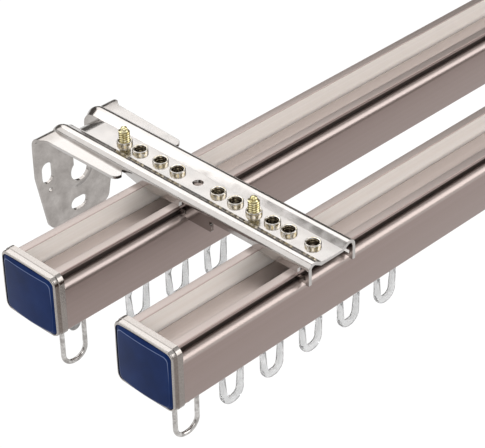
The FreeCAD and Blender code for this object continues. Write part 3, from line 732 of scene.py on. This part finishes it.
def inlay_skin(face, out, line, level):
    """An inlay in mm, and how much painted highlight each point gets: rings that shrink towards its
    middle, each as far out as the crown, a cylinder about an upright axis, less a drop. The rows of
    (share of the outline, drop) are the hidden back, the side, the bevel and the face."""
    bevel = [
        (1, seat_deep + 0.9), (1, 0.9), (0.985, 0.75), (0.915, 0.16), (0.902, 0.07), (0.889, 0.02),
        (0.875, 0),
    ]
    middle = np.stack([np.linspace(0.84, 0.02, face_rows), np.zeros(face_rows)], 1)
    rows = np.concatenate([bevel, middle])
    size, drop = rows[:, :1, None], rows[:, 1:]
    outline = pillow(panel_half_y, panel_half_z, panel_corner, panel_bulge)
    crest_highlight_share = least_crest_highlight + (1 - least_crest_highlight) * np.clip(outline[:, 1] / panel_half_z, 0, 1)
    crest = (np.arange(len(rows)) == crest_row)[:, None] * crest_highlight_share
    rings = stack_rings(np.zeros(len(rows)), 0, level, outline * size)
    crown_edge = math.sqrt(dome_radius**2 - (panel_half_y + panel_bulge) ** 2)
    crown = np.sqrt(dome_radius**2 - rings[..., 1] ** 2) - crown_edge
    rings[..., 0] = face + out * np.where(drop > seat_deep, -seat_deep, panel_edge + crown - drop)
    rings[..., 1] += line
    return band(rings), crest


for track, side in four_corners:
    inlay = f"{track}_cap_inlay_{side}"
    end, out, line = rail_end(track, side)
    face = end + out * (flange_deep + frame_deep)
    skin, crest = inlay_skin(face, out, line, middle_of(inlay)[2])
    add_piece(f"{inlay}_moulding", [skin], navy, fixed, inlay, sharp=50, tints=[crest])


# The end stops: grey nylon blocks pushed into the hollow behind the caps. A lug with a bore
# comes down through the slot.

# Moulded nylon: dull grey with a faint grain, and light that goes 2 mm in.
scatter = (2 * mm, 2 * mm, 2 * mm)
stop_values = {"Roughness": 0.5, "Subsurface_Weight": 0.15, "Subsurface_Radius": scatter}
grey_nylon, tree, shader = new_material("grey_nylon", **stop_values)
finish(tree, shader, blotches(tree, 1.5, 3.0), [(0.3, "#8f8e8c"), (0.7, "#a3a2a0")], relief=0.01)

for track, side in four_corners:
    stop = f"{track}_end_stop_{side}"
    dressed_copy(f"{stop}_moulding", stop, grey_nylon, width=0.3)


# The end rings: round steel wire bent to a closed loop, butt welded and nickel plated. They
# hang in the lugs and hold the last hook of the curtain.

# In mm: the wire's radius, and the path's radii at the top and at the foot.
ring_wire, ring_shoulder, ring_foot, bend_steps = 1.0, 2.4, 5.2, 14
wire_round = np.linspace(0, 2 * math.pi, 20, endpoint=False)[None, :]

# Nickel on drawn wire: a bright metal whose tone drifts along the wire.
wire_metal, tree, shader = new_material("plated_round_wire", Metallic=1.0)
silvers = [(0.3, "#8e8a87"), (0.5, "#b3b0ad"), (0.7, "#d3d1cf")]
finish(tree, shader, blotches(tree, 2.5, 3.0), silvers, rough=(0.08, 0.2))


def wire_skin(x, y, low, high, half):
    """A closed wire in mm in a plane facing Y: circles about a rounded path, spanned by Y and the
    path's own outward direction."""
    wide, top, foot = half - ring_wire, high - ring_wire, low + ring_wire
    path = rounded_outline([
        (-wide, top, ring_shoulder), (wide, top, ring_shoulder),
        (wide, foot, ring_foot), (-wide, foot, ring_foot),
    ], bend_steps)
    along = np.roll(path, -1, 0) - np.roll(path, 1, 0)
    along /= np.linalg.norm(along, axis=1)[:, None]
    outward = np.stack([along[:, 1], -along[:, 0]], 1)
    reach = ring_wire * np.cos(wire_round)
    rings = np.stack([
        x + path[:, :1] + outward[:, :1] * reach,
        y + ring_wire * np.sin(wire_round) + 0 * path[:, :1],
        path[:, 1:] + outward[:, 1:] * reach,
    ], -1)
    return band(rings, closed=True)


for track, side in four_corners:
    node = f"{track}_end_ring_{side}"
    x, y, _ = middle_of(node)
    skin = wire_skin(x, y, *levels_of(node), half_size(node)[0])
    add_piece(f"{node}_loop", [skin], wire_metal, node, node)


# The gliders: one moulding each of clear-grey nylon, with a block that carries the wheels, a
# neck through the slot, and a loop with a pear-shaped eye for the curtain's hook.
gliders = {
    f"{track}_glider_{number}": track
    for track, count in (("front", 5), ("back", 3)) for number in range(1, count + 1)
}

# In mm, down from the rail's underside: the block in the rail's hollow, the neck in its slot,
# the loop's outside, the eye in it, and how the neck laps onto the loop.
block_half, block_bevel, block_foot, block_soft, block_clear = 10.4, 2.4, 0.6, 0.8, 0.15
neck_half, neck_tall, neck_root, neck_soft, neck_flare = 3.3, 4.0, 1.0, 0.3, 1.5
loop_half, loop_top, loop_drop, loop_thick, loop_corner = 5.85, 9.5, 29.8, 2.6, 3.0
eye_top, eye_bottom, eye_top_half, eye_bottom_half, eye_corner = 12.4, 26.6, 4.3, 2.6, 3.2
arch_inset, arch_round, eye_inset, eye_lap, eye_round = 1.0, 1.0, 0.4, 0.6, 0.8
neck_thick, moulded_edge, foot_flat, squareness = loop_thick - 0.6, 0.5, 0.1, 0.7

# Glossy nylon: a mould's polish, with light through the plastic and slow waves in its skin.
nylon_values = {"Roughness": 0.06, "Transmission_Weight": 0.75, "IOR": 1.53}
glider_nylon, tree, shader = new_material("glossy_clear_grey_nylon", **nylon_values)
milky = [(0.3, "#d2d2d2"), (0.5, "#dedede"), (0.7, "#ececec")]
finish(tree, shader, blotches(tree, 4.0, 2.0), milky)
finish(tree, shader, blotches(tree, 2.5, 1.0), relief=0.15)


def block_outline(x, low, high):
    """The block seen from the front in mm: a box whose upper corners are cut off."""
    left, right, cut = x - block_half, x + block_half, high - block_bevel
    return rounded_outline([
        (left, low, block_foot), (right, low, block_foot),
        (right, cut, block_soft), (right - block_bevel, high, block_soft),
        (left + block_bevel, high, block_soft), (left, cut, block_soft),
    ])


def neck_outline(x, top, level):
    """The neck seen from the front in mm: it comes down through the slot at a level, then widens
    to the loop's arch and ends at the top of the eye."""
    flare, arch, foot = level - neck_tall, level - loop_top, level - eye_top - eye_lap
    return rounded_outline([
        (x - neck_half, top, neck_soft), (x - neck_half, flare, neck_flare),
        (x - loop_half + arch_inset, arch, arch_round), (x - eye_top_half + eye_inset, foot, eye_round),
        (x + eye_top_half - eye_inset, foot, eye_round), (x + loop_half - arch_inset, arch, arch_round),
        (x + neck_half, flare, neck_flare), (x + neck_half, top, neck_soft),
    ])


def plate_skin(outline, y, thick, soft):
    """A moulded plate in mm: rings of one outline across its thickness, drawn in towards their
    middle near each face by a quarter circle of the soft edge's radius."""
    angle = np.linspace(0, math.pi / 2, 5)
    inset = soft * (1 - np.sin(angle))
    near_face = -thick / 2 + soft * (1 - np.cos(angle))
    far_face = thick / 2 - soft * (1 - np.cos(angle[::-1]))
    depth = np.concatenate([near_face, far_face])
    inset = np.concatenate([inset, inset[::-1]])
    middle = (outline.max(0) + outline.min(0)) / 2
    half = (outline.max(0) - outline.min(0)) / 2
    scale = 1 - inset[:, None, None] / half
    flat = middle + (outline - middle) * scale
    return band(np.stack([flat[..., 0], y + depth[:, None] + 0 * flat[..., 0], flat[..., 1]], -1))


def twice_as_fine(outline):
    """A closed outline with one more point halfway between each two."""
    spots = np.arange(0, len(outline), 0.5)
    whole = np.append(outline, outline[:1], 0)
    numbers = np.arange(len(whole))
    return np.stack([np.interp(spots, numbers, whole[:, axis]) for axis in (0, 1)], 1)


def pear_outline(top_half, foot_half, high, low, corner):
    """A pear shape in mm whose foot is almost a half circle."""
    foot_round = foot_half - foot_flat
    return twice_as_fine(rounded_outline([
        (-top_half, high, corner), (top_half, high, corner),
        (foot_half, low, foot_round), (-foot_half, low, foot_round),
    ], bend_steps))


def loop_skin(x, y, level):
    """The loop in mm: rounded bars, each section a squared circle between the outside outline and
    the eye's outline, |cos|**0.7 across and |sin|**0.7 through the thickness."""
    outside = pear_outline(loop_half, loop_half, level - loop_top, level - loop_drop, loop_corner)
    eye = pear_outline(eye_top_half, eye_bottom_half, level - eye_top, level - eye_bottom, eye_corner)
    angle = np.linspace(0, 2 * math.pi, 24, endpoint=False)[None, :]
    across = np.sign(np.cos(angle)) * np.abs(np.cos(angle)) ** squareness
    through = np.sign(np.sin(angle)) * np.abs(np.sin(angle)) ** squareness * loop_thick / 2
    centre, half = (outside + eye) / 2, (outside - eye) / 2
    rings = np.stack([
        x + centre[:, :1] + half[:, :1] * across,
        y + through + 0 * centre[:, :1],
        centre[:, 1:] + half[:, 1:] * across,
    ], -1)
    return band(rings, closed=True)


for glider, track in gliders.items():
    x, y, _ = middle_of(glider)
    level, block_high = levels_of(f"{track}_rail")[0], levels_of(glider)[1]
    block_low = level + wall + rib_height + block_clear
    block = block_outline(x, block_low, block_high)
    neck = neck_outline(x, block_low + neck_root, level)
    skins = [
        plate_skin(block, y, 2 * half_size(glider)[1], moulded_edge),
        plate_skin(neck, y, neck_thick, moulded_edge),
        loop_skin(x, y, level),
    ]
    add_piece(f"{glider}_moulding", skins, glider_nylon, glider, glider, sharp=50)


# The wheels: turned white nylon, each pair pressed on a steel pin that runs in the glider's
# block.

# In mm: the wheel's width, the radii of pin and hub, the tread's soft edges, the dish in the
# outer face, and the pin's chamfered ends.
wheel_wide, pin_radius, hub_radius = 4.0, 0.9, 2.0
rim_soft, rim_wide, dish_wide, dish_deep = 0.45, 1.0, 1.25, 0.35
pin_end, pin_chamfer = 0.4, 0.3
wheel_round = np.linspace(0, 2 * math.pi, 48, endpoint=False)[None, :]

# Turned nylon: a warm white with a low sheen, and light that goes 2 mm in.
wheel_values = {"Roughness": 0.38, "Subsurface_Weight": 0.1, "Subsurface_Radius": scatter}
white_nylon, tree, shader = new_material("white_nylon", **wheel_values)
finish(tree, shader, blotches(tree, 1.2, 3.0), [(0.3, "#d2d1cc"), (0.7, "#e2e1dc")], relief=0.006)

# Drawn steel: bright, with lines along the pin. They are drawn 0.4 mm wide to show.
pin_steel, tree, shader = new_material("bright_steel_pin", Metallic=1.0)
drawn_lines = blotches(tree, 0.4, 2.0, stretch=(1, 20, 1))
finish(tree, shader, drawn_lines, [(0.3, "#a8a6a3"), (0.7, "#c4c2bf")], rough=(0.2, 0.32))


def turned_skin(x, y, z, profile):
    """A turned part in mm about an axis along Y: each profile point (radius, along) makes a
    circle."""
    radius, along = np.array(profile, float)[:, :1], np.array(profile, float)[:, 1:]
    rings = np.stack([
        x + radius * np.cos(wheel_round),
        y + along + 0 * wheel_round,
        z + radius * np.sin(wheel_round),
    ], -1)
    return band(rings)


def wheel_profile(radius, inner, outer, way):
    """One wheel's points (radius, along) in mm from its inner face to its outer face, with soft
    rims and a dished outer face. `way` is the side of the glider that it is on."""
    rim, dish, hub = radius - rim_soft, outer - dish_deep, outer - 0.1
    return [(r, way * along) for r, along in (
        (pin_radius, inner), (rim, inner), (radius - 0.12, inner + 0.14), (radius, inner + rim_soft),
        (radius, outer - rim_soft), (radius - 0.12, outer - 0.14), (rim, outer),
        (radius - rim_wide, outer), (radius - dish_wide, dish), (hub_radius, dish),
        (hub_radius - 0.15, hub), (pin_radius, hub),
    )]


for glider in gliders:
    for pair in ("a", "b"):
        node = f"{glider}_wheels_{pair}"
        axle = middle_of(node)
        _, outer, radius = half_size(node)
        profiles = [wheel_profile(radius, outer - wheel_wide, outer, way) for way in (-1, 1)]
        wheels = [turned_skin(*axle, profile) for profile in profiles]
        add_piece(f"{node}_tyres", wheels, white_nylon, node, node)
        pin = turned_skin(*axle, [
            (pin_end, -outer), (pin_radius, -outer + pin_chamfer),
            (pin_radius, outer - pin_chamfer), (pin_end, outer),
        ])
        add_piece(f"{node}_pin", [pin], pin_steel, node)
